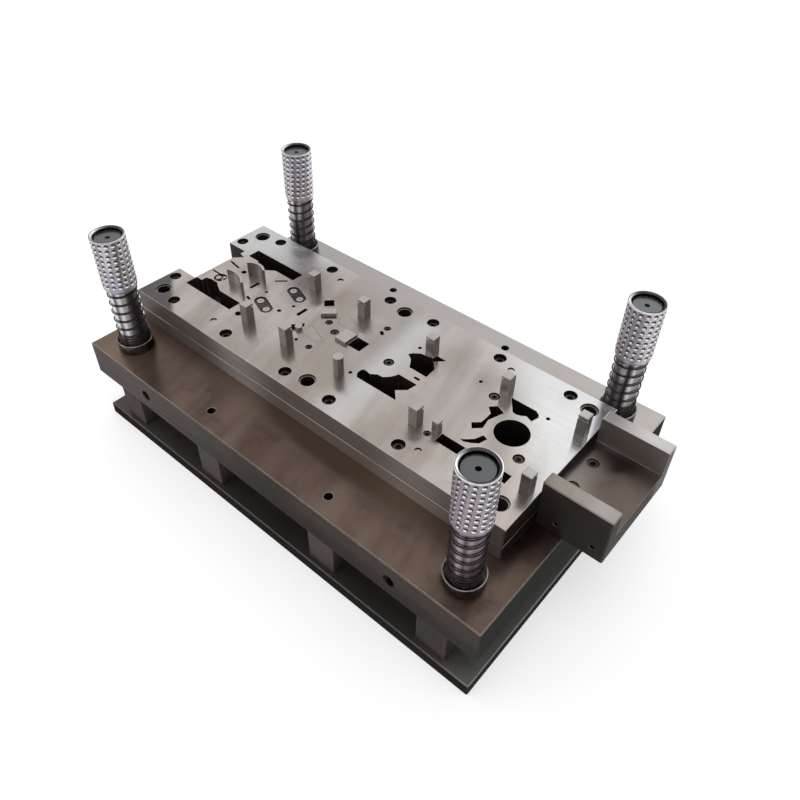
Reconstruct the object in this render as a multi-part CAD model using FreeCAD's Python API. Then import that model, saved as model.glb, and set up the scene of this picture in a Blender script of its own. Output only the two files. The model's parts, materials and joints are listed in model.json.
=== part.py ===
import FreeCAD, Part
import math
import os

# Lower half of a progressive press die, in millimetres, +Z up.
# The origin is the centre of the base plate's bottom face. +X runs along the strip towards the
# exit channel block, and -Y is the long side where the operator stands.

V = FreeCAD.Vector
UP = V(0, 0, 1)

# Plates, from the bottom up
BASE_L, BASE_W, BASE_T = 592.0, 360.0, 17.0
RISER_W, RISER_L, RISER_H = 37.0, 350.0, 55.0
RISER_X_OUTER, RISER_X_INNER = 244.0, 93.0
SHOE_L, SHOE_W, SHOE_T = 600.0, 360.0, 46.0
STACK_X0, STACK_X1, STACK_W = -292.5, 268.0, 210.0
BACKING_T, DIE_T = 19.0, 26.0
EDGE_CHAMFER = 1.0

RISER_TOP = BASE_T + RISER_H
SHOE_TOP = RISER_TOP + SHOE_T
BACKING_TOP = SHOE_TOP + BACKING_T
DIE_TOP = BACKING_TOP + DIE_T

# Clearances between pieces
FIT_GAP = 0.05
SEAT_GAP = 0.3
SCREW_GAP = 0.5
SLUG_RELIEF = 1.5
CUT_PAST = 1.0

# Strip layout: the strip's centre line, the feed pitch and the two screw rows
STRIP_Y = 1.2
ROW_HALF = 89.5
SCREW_XS = [-241.0, -142.0, -40.5, 28.0, 126.0, 219.0]
HORN_SCREW_X, HORN_SCREW_HALF = -281.7, 56.5
BUSH_XS, BUSH_HALF = [-270.5, -11.5, 246.0], 83.0
PITCH = 87.0
PILOT_X0, PILOT_HALF, PILOT_R = 46.0, 42.3, 2.3

# Left end recess between the two horns, where the strip enters
RECESS_X, RECESS_HALF, LEAD_IN = -265.0, 42.0, 4.5

# Cap screws: head radius, head height, shank radius, hex across flats, hex depth
M8 = dict(head_r=6.5, head_h=8.0, shank_r=4.0, hex_af=6.0, hex_d=4.0)
M6 = dict(head_r=5.0, head_h=6.0, shank_r=3.0, hex_af=5.0, hex_d=3.0)
M5 = dict(head_r=3.8, head_h=5.0, shank_r=2.5, hex_af=4.0, hex_d=2.5)
M12 = dict(head_r=9.0, head_h=10.0, shank_r=5.0, hex_af=8.0, hex_d=5.0)
M8_BORE_R, M8_BORE_D, M8_BITE = 7.6, 12.0, 18.0
M6_BORE_R, M6_BORE_D = 6.3, 7.0
M5_BORE_D = 6.0
M12_BORE_R, M12_BORE_D, M12_BITE = 9.8, 12.0, 16.0
INSERT_SCREWS = [(35.7, 0.4), (158.0, 34.0), (228.2, -23.8)]
# Small screws: x, y, radius of the counterbore
SMALL_SCREWS = [(138.2, -57.2, 4.3), (-5.7, 45.3, 4.5), (-51.2, -40.8, 4.3), (-47.9, -1.4, 5.4), (-66.0, 7.6, 4.8)]
INSERT_SCREW_BITE = 12.0

# Guide bushes for the stripper's pins
BUSH_R, BUSH_BORE_R, BUSH_SINK = 10.0, 8.0, 2.0

# Dowels and plain holes in the die plate
DOWEL_R, DOWEL_SINK = 4.0, 1.5
DOWELS = [(-172.6, -81.7), (-117.1, 80.4), (146.9, 82.0), (146.1, -81.4)]
ROUND_HOLES = [(-160.4, -53.3, 4.3), (-127.9, -16.4, 2.8), (-168.4, -0.5, 2.3), (-121.1, 1.4, 2.3),
               (-223.0, 9.5, 3.6)]

# Die openings, as plan outlines
BLANK_HOLE = (203.1, 1.2, 19.2)
ENTRY_SLOT_BACK = [(-248, 39), (-248, 56.5), (-162, 56.5), (-162, 39), (-195, 39), (-209, 29),
                   (-222, 33), (-229, 39)]
ENTRY_SLOT_FRONT = [(-260, -55.5), (-175, -55.5), (-175, -38), (-214, -38), (-224, -33),
                    (-231, -28.5), (-243, -28.5), (-250, -31), (-250, -38), (-260, -38)]
NOTCH_BACK = [(43, 26), (46, 31), (53.5, 36.5), (69, 39.5), (69, 45.5), (84, 45.5), (73, 35), (82, 26),
              (83.5, 9.3), (58.6, 9.3), (54, 17), (50.5, 21.5)]
NOTCH_FRONT = [(21, -33), (21.5, -28.5), (24.5, -27), (33, -28.5), (40, -23.5), (47, -23), (53, -17),
               (56.5, -10.5), (57, -7.5), (83.5, -7.5), (81.5, -20.7), (71.4, -30), (82, -41.5),
               (25.7, -42), (21.4, -37)]
WAIST_OPENING = [(169.3, 24.3), (180.4, 19.7), (173.8, 0), (176.4, -12.9), (168.1, -21.1),
                 (162.4, -14), (170, -7.1), (170.4, 0), (170.3, 10), (162.4, 16.9)]
HOOK_OPENING = [(183, -20.7), (189.3, -23), (186.4, -33), (180, -38), (173, -41.4), (167.4, -41),
                (173, -37), (179.3, -30.7)]
EXIT_OPENING_BACK = [(172.5, 45), (204.5, 45), (209.5, 42), (211.5, 38), (208.8, 28.6),
                     (200.7, 31.4), (195.7, 28), (190.7, 26.4), (186.4, 27)]
EXIT_SLOT_FRONT = [(150, -59.7), (235.7, -59.7), (235.7, -47), (150, -47)]
WINDOW = [(-20.7, -8.3), (-2.2, -8.3), (-2.2, 10), (-20.7, 10)]
DIAMOND = [(-93, 44.3), (-84, 35.3), (-93, 26.3), (-102, 35.3)]
RELIEF_BACK = [(-266, 40), (-259.5, 35), (-250, 33), (-259.5, 23), (-266, 17)]
THROUGH_OPENINGS = [ENTRY_SLOT_BACK, ENTRY_SLOT_FRONT, NOTCH_BACK, NOTCH_FRONT, WAIST_OPENING,
                    HOOK_OPENING, EXIT_OPENING_BACK, EXIT_SLOT_FRONT, WINDOW, DIAMOND]
# Narrow slots: centre x, y, length, width, angle in degrees
NARROW_SLOTS = [(-245.4, 13.2, 20.7, 3.0, -10), (-172.2, 28.2, 16.0, 3.2, 43),
                (-190.3, -0.7, 15.0, 4.6, 90), (-105.0, 0.3, 16.5, 5.2, 90), (-176.0, -24.0, 8.0, 3.5, -15),
                (77.1, 0.2, 8.0, 3.4, 0), (-5.0, 34.6, 7.5, 4.4, -35), (-85.5, -16.5, 6.5, 3.0, -50)]
NARROW_SLOT_DEPTH = 15.0

# Forming pieces let into the die plate
FORM_ROOT = 12.0
BLADE_H, BLADE_T = 18.0, 3.2
BLADE_FRONT = [(-223.0, -15.5), (-204.0, -14.0), (-186.5, -23.5)]
BLADE_BACK = [(-216.0, 11.0), (-201.5, 18.0), (-186.5, 12.5)]
PIERCE_INSERTS = {"back": [(-145.3, 24.2), (-126.9, 17.2)], "front": [(-160.6, -17.4), (-142.6, -24.4)]}
PIERCE_R, PIERCE_SINK, BUTTON_R, BUTTON_HOLE_R = 8.2, 1.2, 4.3, 0.9
NOSE_FORMER, NOSE_R, NOSE_SINK = (-236.2, -18.8), 8.5, 3.5
NOSE_BOSS, NOSE_PIN = (-237.2, -20.8, 3.4, 1.0), (-231.8, -15.6, 2.2, 0.5)
NOSE_SLOT, NOSE_SLOT_D = (-246.5, -14.0, 22.0, 2.6, 0), 9.0
FORM_INSERT_BACK = [(-64.5, 25.5), (-59.5, 34.5), (-24.5, 21.0), (-24.5, 14.0), (-58.0, 14.0)]
FORM_INSERT_FRONT = [(-80.5, -16.0), (-74.5, -10.0), (-46.0, -22.0), (-50.0, -29.0), (-76.5, -28.5)]
V_FORMER_BACK, V_FORMER_BACK_H = (-78.2, 19.7, 19.2, 10.2, 41.9), 4.0
V_GROOVE_DOWN, V_GROOVE_H, V_GROOVE_D = 0.8, 1.6, 2.0
V_FORMER_FRONT, V_FORMER_FRONT_H = (-84.2, -25.2, 4.5), 5.0
V_POCKET, V_POCKET_D = (-88.4, -25.5, 12.6, 12.6, 45), 9.0
WINDOW_BLOCK = [(-38, -11.0), (-21.6, -11.0), (-21.6, 10.0), (-38, 10.0)]
WINDOW_BLOCK_H = 4.0
INSERT_GAP = 0.5

# Stock lifters: name, x, y, stand-out above the die plate, half width, which way the groove faces
LIFTERS = [("back_1", -128.0, 45.8, 24.5, 5.6, -1), ("back_2", -44.5, 46.5, 24.5, 5.6, -1),
           ("back_3", 61.5, 46.8, 24.5, 5.6, -1), ("back_4", 163.8, 49.0, 24.5, 5.6, -1),
           ("back_5", 256.0, 51.0, 25.5, 5.6, -1), ("front_1", -141.5, -54.0, 25.0, 5.6, 1),
           ("front_2", -75.8, -52.5, 25.0, 5.6, 1), ("front_3", 6.0, -50.0, 25.0, 6.1, 0),
           ("front_4", 119.3, -53.0, 25.0, 5.6, 1), ("front_5", 143.5, -48.0, 16.0, 3.9, 1),
           ("front_6", 256.0, -52.0, 25.5, 5.6, 1)]
LIFTER_FOOT_T, LIFTER_FOOT_EXTRA = 4.0, 1.5
LIFTER_TOP_CHAMFER = 0.8
GROOVE_DOWN, GROOVE_H, GROOVE_D = 3.0, 2.4, 2.2
LIFTER_POCKET_GAP = 0.6
LIFTER_POCKET_FLOOR = 84.0
LIFTER_SPRING_WIRE, LIFTER_SPRING_TURNS, LIFTER_SPRING_STEPS = 1.8, 4.0, 6

# Guide posts with ball cages
POST_FROM_END, POST_FROM_SIDE, POST_R = 45.5, 36.0, 16.0
POST_X, POST_Y = SHOE_L / 2 - POST_FROM_END, SHOE_W / 2 - POST_FROM_SIDE
CAGE_TOP, CAGE_L = 158.5, 69.5
POST_BELOW_RIM = 4.3
POST_CHAMFER, POST_CENTRE_R, POST_CENTRE_D = 1.5, 2.8, 6.0
FLANGE_R, FLANGE_H, FLANGE_SEAT_R, FLANGE_SEAT_D, FLANGE_CHAMFER = 21.6, 13.5, 19.6, 5.0, 0.8
BALL_R, BALL_COLUMNS, BALL_ROWS, BALL_PITCH, BALL_TWIST = 2.0, 17, 9, 6.85, -1.4
CAGE_BORE_GAP, CAGE_WALL = 0.35, 3.1
CAGE_RIM, CAGE_TAPER = 5.0, 1.4
RING_H, RING_OUT, RING_CHAMFER = 1.9, 0.55, 0.5
GROOVE_BELOW_RING, GROOVE_IN = 0.9, 1.0
BALL_SIDES, BALL_ROOT = 4, 0.6
SPRING_WIRE, SPRING_STEPS = 1.6, 16
SPRING_CLOSE_TURNS, SPRING_CLOSE_PITCH, SPRING_TURNS, SPRING_PITCH, SPRING_END_TURNS = 4.0, 4.1, 5.0, 11.8, 0.75

# Exit channel block
CHANNEL_L, CHANNEL_Y0, CHANNEL_Y1, CHANNEL_H = 74.5, -46.0, 82.0, 61.0
CHANNEL_WALL, CHANNEL_FLOOR = 16.3, 29.0
CHANNEL_SCREW_IN, CHANNEL_SCREW_YS = 13.6, (-5.0, 34.9)
CHANNEL_BORE_R, CHANNEL_BORE_D, CHANNEL_CHAMFER = 6.8, 9.0, 1.2
CHANNEL_SIDE_HOLES = [(21.5, 15.5), (61.0, 15.5)]
CHANNEL_SIDE_HOLE_R, CHANNEL_SIDE_HOLE_D = 2.8, 10.0

# Threaded holes in the shoe
TOP_HOLE_X, TOP_HOLE_FROM_SIDE, TOP_HOLE_R, TOP_HOLE_D = 93.0, 22.5, 5.1, 20.0
TOP_HOLE_Y = SHOE_W / 2 - TOP_HOLE_FROM_SIDE
FRONT_LIFT_X, BACK_LIFT_X, LIFT_DOWN, LIFT_R, LIFT_D = 193.5, 190.0, 24.0, 7.0, 32.0

# Bolts from below, measured in from the risers' ends
OUTER_BOLT_Y, INNER_BOLT_Y = RISER_L / 2 - 75.0, RISER_L / 2 - 50.0


def box(x0, x1, y0, y1, z0, z1):
    return Part.makeBox(x1 - x0, y1 - y0, z1 - z0, V(x0, y0, z0))


def block(length, width, x, y, z0, z1):
    """A box centred on x, y."""
    return box(x - length / 2, x + length / 2, y - width / 2, y + width / 2, z0, z1)


def cylinder(x, y, r, z0, z1):
    return Part.makeCylinder(r, z1 - z0, V(x, y, z0))


def prism(points, z0, z1):
    """A straight-sided solid on a plan outline."""
    ring = [V(x, y, z0) for x, y in points]
    return Part.Face(Part.makePolygon(ring + ring[:1])).extrude(V(0, 0, z1 - z0))


def grown(points, margin):
    """The plan outline with every side moved outwards by margin."""
    wire = Part.makePolygon([V(x, y, 0) for x, y in points + points[:1]])
    face = Part.Face(wire)
    bigger = face.makeOffset2D(margin, join=2)
    return bigger


def grown_prism(points, margin, z0, z1):
    face = grown(points, margin)
    face.translate(V(0, 0, z0))
    return face.extrude(V(0, 0, z1 - z0))


def turned(profile, x, y):
    """A solid of revolution about a vertical axis at x, y from (radius, z) points."""
    ring = [V(x + r, y, z) for r, z in profile]
    return Part.Face(Part.makePolygon(ring + ring[:1])).revolve(V(x, y, 0), UP, 360)


def capsule(ends, r, z0, z1):
    """A round-ended bar between two plan points."""
    a, b = [V(x, y, z0) for x, y in ends]
    along = (b - a).normalize()
    side = V(-along.y, along.x, 0) * r
    outline = [Part.LineSegment(a + side, b + side).toShape(),
               Part.Arc(b + side, b + along * r, b - side).toShape(),
               Part.LineSegment(b - side, a - side).toShape(),
               Part.Arc(a - side, a - along * r, a + side).toShape()]
    return Part.Face(Part.Wire(outline)).extrude(V(0, 0, z1 - z0))


def slot(x, y, length, width, angle, z0, z1):
    """A square-ended slot turned about its centre."""
    shape = block(length, width, x, y, z0, z1)
    shape.rotate(V(x, y, 0), UP, angle)
    return shape


def arc_wall(points, thickness, margin, z0, z1):
    """A thin wall along the arc through three plan points, grown by margin on every side."""
    a, m, b = [V(x, y, z0) for x, y in points]
    centre = Part.Arc(a, m, b).toShape().Curve.Center
    out = thickness / 2 + margin
    turn = math.degrees(margin / (a - centre).Length)

    def ring(offset):
        def place(p, swing):
            q = centre + (p - centre) * (1 + offset / (p - centre).Length)
            return FreeCAD.Rotation(UP, swing).multVec(q - centre) + centre
        left = 1 if (a - centre).cross(m - centre).z < 0 else -1
        return place(a, left * turn), place(m, 0), place(b, -left * turn)

    oa, om, ob = ring(out)
    ia, im, ib = ring(-out)
    outline = [Part.Arc(oa, om, ob).toShape(), Part.LineSegment(ob, ib).toShape(),
               Part.Arc(ib, im, ia).toShape(), Part.LineSegment(ia, oa).toShape()]
    return Part.Face(Part.Wire(outline)).extrude(V(0, 0, z1 - z0))


def cap_screw(size, x, y, seat, tip, up=1):
    """A socket cap screw whose head sits on height seat and whose shank ends at height tip."""
    head_top = seat + up * size["head_h"]
    low, high = sorted((seat, head_top))
    head = cylinder(x, y, size["head_r"], low, high)
    low, high = sorted((seat, tip))
    shank = cylinder(x, y, size["shank_r"], low, high)
    corner = size["hex_af"] / math.sqrt(3)
    hexagon = [(x + corner * math.cos(math.radians(60 * i)), y + corner * math.sin(math.radians(60 * i)))
               for i in range(6)]
    low, high = sorted((head_top - up * size["hex_d"], head_top + up * CUT_PAST))
    return head.fuse(shank).removeSplitter().cut(prism(hexagon, low, high))


def polyhedron(corners, faces):
    """A closed solid from corner points and lists of corner numbers."""
    sides = [Part.Face(Part.makePolygon([corners[i] for i in face] + [corners[face[0]]])) for face in faces]
    shell = Part.makeShell(sides)
    shell.sewShape()
    return Part.makeSolid(Part.Shell(shell.Faces))


def coil_spring(stages, r, wire, steps, sides):
    """A helical spring on the Z axis, as a many-sided wire of flat facets.

    Each stage is its number of turns and the height of the wire's centre where it ends. The first
    has no turns and gives the height of the start."""
    centres = []
    turned_by = 0.0
    for (_, low), (turns, high) in zip(stages, stages[1:]):
        count = int(round(turns * steps))
        for i in range(count):
            centres.append((2 * math.pi * (turned_by + turns * i / count), low + (high - low) * i / count))
        turned_by += turns
    centres.append((2 * math.pi * turned_by, stages[-1][1]))
    corners = []
    for angle, z in centres:
        for k in range(sides):
            phi = 2 * math.pi * k / sides
            reach = r + wire / 2 * math.cos(phi)
            corners.append(V(reach * math.cos(angle), reach * math.sin(angle), z + wire / 2 * math.sin(phi)))
    count = len(centres) - 1
    faces = [list(range(sides)), list(range(count * sides, (count + 1) * sides))]
    for i in range(count):
        for k in range(sides):
            a, b = i * sides + k, i * sides + (k + 1) % sides
            c, d = a + sides, b + sides
            faces.append([a, b, d])
            faces.append([a, d, c])
    return polyhedron(corners, faces)


def save(node, *solids):
    """Write one named node; several like solids go into one group."""
    shape = solids[0] if len(solids) == 1 else Part.makeCompound(list(solids))
    shape.exportStep("parts/" + node + ".step")


def softened(shape, size, low=None):
    """Chamfer a plate's outer edges, or only those above height low."""
    edges = [e for e in shape.Edges if low is None or e.BoundBox.ZMin > low]
    return shape.makeChamfer(size, edges)


def riser_bolt_places():
    """Plan places of the bolts from below, two in each riser."""
    places = []
    for side in (-1, 1):
        for end in (-1, 1):
            places.append((side * RISER_X_OUTER, end * OUTER_BOLT_Y))
            places.append((side * RISER_X_INNER, end * INNER_BOLT_Y))
    return places


def plate_screw_places():
    """The cap screws through the die plate and the backing plate into the shoe."""
    rows = [(x, STRIP_Y + side * ROW_HALF) for x in SCREW_XS for side in (-1, 1)]
    return rows + [(HORN_SCREW_X, STRIP_Y + side * HORN_SCREW_HALF) for side in (-1, 1)]


def bush_places():
    return [(x, STRIP_Y + side * BUSH_HALF) for x in BUSH_XS for side in (-1, 1)]


def pilot_places():
    back = [(PILOT_X0 + i * PITCH, STRIP_Y + PILOT_HALF) for i in range(3)]
    front = [(PILOT_X0 - 31.0 - i * PITCH, STRIP_Y - PILOT_HALF) for i in range(2)]
    return back + front


def channel_screw_places():
    return [(STACK_X1 + CHANNEL_SCREW_IN, y) for y in CHANNEL_SCREW_YS]


def post_places():
    return {"front_left": (-POST_X, -POST_Y), "front_right": (POST_X, -POST_Y),
            "back_left": (-POST_X, POST_Y), "back_right": (POST_X, POST_Y)}


def lifter_foot_half(half):
    return half + LIFTER_FOOT_EXTRA


def recess_cut(z0, z1):
    """The strip's entry between the horns."""
    return box(STACK_X0 - CUT_PAST, RECESS_X, STRIP_Y - RECESS_HALF, STRIP_Y + RECESS_HALF, z0, z1)


def make_base_plate():
    plate = softened(block(BASE_L, BASE_W, 0, 0, 0, BASE_T), EDGE_CHAMFER)
    cuts = []
    for x, y in riser_bolt_places():
        cuts.append(cylinder(x, y, M12_BORE_R, -CUT_PAST, M12_BORE_D))
        cuts.append(cylinder(x, y, M12["shank_r"] + SCREW_GAP, 0, BASE_T + CUT_PAST))
    save("base_plate", plate.cut(cuts))


def make_risers():
    names = {"riser_left_outer": -RISER_X_OUTER, "riser_left_inner": -RISER_X_INNER,
             "riser_right_inner": RISER_X_INNER, "riser_right_outer": RISER_X_OUTER}
    for node, x in names.items():
        riser = softened(block(RISER_W, RISER_L, x, 0, BASE_T, RISER_TOP), EDGE_CHAMFER)
        holes = [cylinder(px, py, M12["shank_r"] + SCREW_GAP, BASE_T - CUT_PAST, RISER_TOP + CUT_PAST)
                 for px, py in riser_bolt_places() if abs(px - x) < RISER_W / 2]
        save(node, riser.cut(holes))
    bolts = [cap_screw(M12, x, y, M12_BORE_D, RISER_TOP + M12_BITE, up=-1) for x, y in riser_bolt_places()]
    save("riser_bolts", *bolts)


def make_shoe():
    shoe = softened(block(SHOE_L, SHOE_W, 0, 0, RISER_TOP, SHOE_TOP), EDGE_CHAMFER)
    low, high = RISER_TOP - CUT_PAST, SHOE_TOP + CUT_PAST
    cuts = [cylinder(x, y, POST_R + FIT_GAP, low, high) for x, y in post_places().values()]
    for x, y in plate_screw_places():
        cuts.append(cylinder(x, y, M8["shank_r"] + FIT_GAP, SHOE_TOP - M8_BITE - SCREW_GAP, high))
    for x, y in channel_screw_places():
        cuts.append(cylinder(x, y, M8["shank_r"] + FIT_GAP, SHOE_TOP - M8_BITE - SCREW_GAP, high))
    for x, y in riser_bolt_places():
        cuts.append(cylinder(x, y, M12["shank_r"] + FIT_GAP, low, RISER_TOP + M12_BITE + SCREW_GAP))
    for side in (-1, 1):
        for end in (-1, 1):
            cuts.append(cylinder(side * TOP_HOLE_X, end * TOP_HOLE_Y, TOP_HOLE_R, SHOE_TOP - TOP_HOLE_D, high))
            lift_x = BACK_LIFT_X if end > 0 else FRONT_LIFT_X
            mouth = V(side * lift_x, end * (SHOE_W / 2 + CUT_PAST), SHOE_TOP - LIFT_DOWN)
            cuts.append(Part.makeCylinder(LIFT_R, LIFT_D + CUT_PAST, mouth, V(0, -end, 0)))
    for _, x, y, _, half, _ in LIFTERS:
        pocket = 2 * (lifter_foot_half(half) + LIFTER_POCKET_GAP)
        cuts.append(block(pocket, pocket, x, y, LIFTER_POCKET_FLOOR, high))
    cuts += slug_windows(low, high)
    x, y, r = BLANK_HOLE
    cuts.append(cylinder(x, y, r + 2 * SLUG_RELIEF, low, high))
    save("die_shoe", shoe.cut(cuts))


def riser_bays():
    """The clear stretches along X between neighbouring risers."""
    outer, inner, half = RISER_X_OUTER, RISER_X_INNER, RISER_W / 2 + SLUG_RELIEF
    return [(-outer + half, -inner - half), (-inner + half, inner - half), (inner + half, outer - half)]


def slug_windows(z0, z1):
    """A plain rectangular way down for the scrap below each die opening that lies over a bay."""
    windows = []
    for outline in THROUGH_OPENINGS:
        xs = [p[0] for p in outline]
        ys = [p[1] for p in outline]
        for low, high in riser_bays():
            if low < (min(xs) + max(xs)) / 2 < high:
                windows.append(box(max(low, min(xs) - SLUG_RELIEF / 2), min(high, max(xs) + SLUG_RELIEF / 2),
                                   min(ys) - SLUG_RELIEF / 2, max(ys) + SLUG_RELIEF / 2, z0, z1))
    return windows


def make_backing_plate():
    middle = (STACK_X0 + STACK_X1) / 2
    plate = softened(block(STACK_X1 - STACK_X0, STACK_W, middle, 0, SHOE_TOP, BACKING_TOP), EDGE_CHAMFER / 2)
    low, high = SHOE_TOP - CUT_PAST, BACKING_TOP + CUT_PAST
    cuts = [recess_cut(low, high)]
    for x, y in plate_screw_places():
        cuts.append(cylinder(x, y, M8["shank_r"] + SCREW_GAP, low, high))
    for x, y in INSERT_SCREWS:
        cuts.append(cylinder(x, y, M6["shank_r"] + FIT_GAP, BACKING_TOP - INSERT_SCREW_BITE - SCREW_GAP, high))
    for x, y, _ in SMALL_SCREWS:
        cuts.append(cylinder(x, y, M5["shank_r"] + FIT_GAP, BACKING_TOP - INSERT_SCREW_BITE - SCREW_GAP, high))
    for _, x, y, _, half, _ in LIFTERS:
        pocket = 2 * (lifter_foot_half(half) + LIFTER_POCKET_GAP)
        cuts.append(block(pocket, pocket, x, y, low, high))
    cuts += slug_windows(low, high)
    x, y, r = BLANK_HOLE
    cuts.append(cylinder(x, y, r + SLUG_RELIEF, low, high))
    save("backing_plate", plate.cut(cuts))


def lifter_hole(x, y, half, round_bar, z0, z1):
    if round_bar:
        return cylinder(x, y, half + FIT_GAP, z0, z1)
    return block(2 * (half + FIT_GAP), 2 * (half + FIT_GAP), x, y, z0, z1)


def make_die_plate():
    middle = (STACK_X0 + STACK_X1) / 2
    plate = softened(block(STACK_X1 - STACK_X0, STACK_W, middle, 0, BACKING_TOP, DIE_TOP), EDGE_CHAMFER / 2)
    low, high = BACKING_TOP - CUT_PAST, DIE_TOP + CUT_PAST
    cuts = [recess_cut(low, high), prism(RELIEF_BACK, low, high)]
    bevel = [V(RECESS_X - CUT_PAST, STRIP_Y - RECESS_HALF, DIE_TOP - LEAD_IN - CUT_PAST),
             V(RECESS_X - CUT_PAST, STRIP_Y - RECESS_HALF, high),
             V(RECESS_X + LEAD_IN + CUT_PAST, STRIP_Y - RECESS_HALF, high)]
    cuts.append(Part.Face(Part.makePolygon(bevel + bevel[:1])).extrude(V(0, 2 * RECESS_HALF, 0)))
    for x, y in plate_screw_places():
        cuts.append(cylinder(x, y, M8["shank_r"] + SCREW_GAP, low, high))
        cuts.append(cylinder(x, y, M8_BORE_R, DIE_TOP - M8_BORE_D, high))
    for x, y in INSERT_SCREWS:
        cuts.append(cylinder(x, y, M6["shank_r"] + SCREW_GAP, low, high))
        cuts.append(cylinder(x, y, M6_BORE_R, DIE_TOP - M6_BORE_D, high))
    for x, y, bore_r in SMALL_SCREWS:
        cuts.append(cylinder(x, y, M5["shank_r"] + SCREW_GAP, low, high))
        cuts.append(cylinder(x, y, bore_r, DIE_TOP - M5_BORE_D, high))
    cuts += [cylinder(x, y, BUSH_R + FIT_GAP, low, high) for x, y in bush_places()]
    cuts += [cylinder(x, y, DOWEL_R + FIT_GAP, low, high) for x, y in DOWELS]
    cuts += [cylinder(x, y, PILOT_R, DIE_TOP - NARROW_SLOT_DEPTH, high) for x, y in pilot_places()]
    cuts += [cylinder(x, y, r, DIE_TOP - NARROW_SLOT_DEPTH, high) for x, y, r in ROUND_HOLES]
    cuts += [prism(outline, low, high) for outline in THROUGH_OPENINGS]
    x, y, r = BLANK_HOLE
    cuts.append(cylinder(x, y, r, low, high))
    cuts += [slot(*values, DIE_TOP - NARROW_SLOT_DEPTH, high) for values in NARROW_SLOTS]
    for _, x, y, _, half, groove in LIFTERS:
        cuts.append(lifter_hole(x, y, half, groove == 0, low, high))
    root = DIE_TOP - FORM_ROOT
    cuts += [capsule(ends, PIERCE_R, root, high) for ends in PIERCE_INSERTS.values()]
    cuts += [arc_wall(points, BLADE_T, FIT_GAP, root, high) for points in (BLADE_FRONT, BLADE_BACK)]
    cuts.append(cylinder(*NOSE_FORMER, NOSE_R + FIT_GAP, root, high))
    cuts.append(slot(*NOSE_SLOT, DIE_TOP - NOSE_SLOT_D, high))
    for outline in (FORM_INSERT_BACK, FORM_INSERT_FRONT):
        cuts.append(prism(outline, root, high))
    cuts.append(grown_prism(WINDOW_BLOCK, FIT_GAP, root, high))
    x, y, length, width, angle = V_FORMER_BACK
    cuts.append(slot(x, y, length + 2 * FIT_GAP, width + 2 * FIT_GAP, angle, root, high))
    x, y, r = V_FORMER_FRONT
    cuts.append(cylinder(x, y, r + FIT_GAP, root, high))
    cuts.append(slot(*V_POCKET, DIE_TOP - V_POCKET_D, high))
    save("die_plate", plate.cut(cuts))


def make_plate_fasteners():
    seat = DIE_TOP - M8_BORE_D
    screws = [cap_screw(M8, x, y, seat, SHOE_TOP - M8_BITE) for x, y in plate_screw_places()]
    seat = SHOE_TOP + CHANNEL_FLOOR - CHANNEL_BORE_D
    screws += [cap_screw(M8, x, y, seat, SHOE_TOP - M8_BITE) for x, y in channel_screw_places()]
    save("plate_screws", *screws)
    tip = BACKING_TOP - INSERT_SCREW_BITE
    screws = [cap_screw(M6, x, y, DIE_TOP - M6_BORE_D, tip) for x, y in INSERT_SCREWS]
    screws += [cap_screw(M5, x, y, DIE_TOP - M5_BORE_D, tip) for x, y, _ in SMALL_SCREWS]
    save("insert_screws", *screws)
    save("locating_dowels", *[cylinder(x, y, DOWEL_R, BACKING_TOP, DIE_TOP - DOWEL_SINK) for x, y in DOWELS])
    bush = [(BUSH_BORE_R, BACKING_TOP), (BUSH_R, BACKING_TOP), (BUSH_R, DIE_TOP - BUSH_SINK),
            (BUSH_BORE_R, DIE_TOP - BUSH_SINK)]
    save("stripper_guide_bushes", *[turned(bush, x, y) for x, y in bush_places()])


def make_forming_pieces():
    root = DIE_TOP - FORM_ROOT
    top = DIE_TOP + BLADE_H
    for side, points in (("front", BLADE_FRONT), ("back", BLADE_BACK)):
        save("forming_blade_" + side, arc_wall(points, BLADE_T, 0, root, top))
    buttons = []
    for side, ends in PIERCE_INSERTS.items():
        body = capsule(ends, PIERCE_R - INSERT_GAP, root, DIE_TOP - PIERCE_SINK)
        holes = [cylinder(x, y, BUTTON_R + FIT_GAP, root - CUT_PAST, DIE_TOP) for x, y in ends]
        save("pierce_insert_" + side, body.cut(holes))
        for x, y in ends:
            button = [(BUTTON_HOLE_R, root), (BUTTON_R, root), (BUTTON_R, DIE_TOP - DOWEL_SINK / 2),
                      (BUTTON_HOLE_R, DIE_TOP - DOWEL_SINK / 2)]
            buttons.append(turned(button, x, y))
    save("pierce_buttons", *buttons)
    nose = cylinder(*NOSE_FORMER, NOSE_R, root, DIE_TOP - NOSE_SINK).cut(slot(*NOSE_SLOT, DIE_TOP - NOSE_SLOT_D,
                                                                            DIE_TOP))
    for x, y, r, rise in (NOSE_BOSS, NOSE_PIN):
        nose = nose.fuse(cylinder(x, y, r, DIE_TOP - NOSE_SLOT_D, DIE_TOP + rise))
    save("nose_former", nose.removeSplitter())
    for node, outline in (("form_insert_back", FORM_INSERT_BACK), ("form_insert_front", FORM_INSERT_FRONT)):
        save(node, grown_prism(outline, -INSERT_GAP, root, DIE_TOP))
    make_v_formers(root)
    save("window_block", prism(WINDOW_BLOCK, root, DIE_TOP + WINDOW_BLOCK_H))


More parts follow.
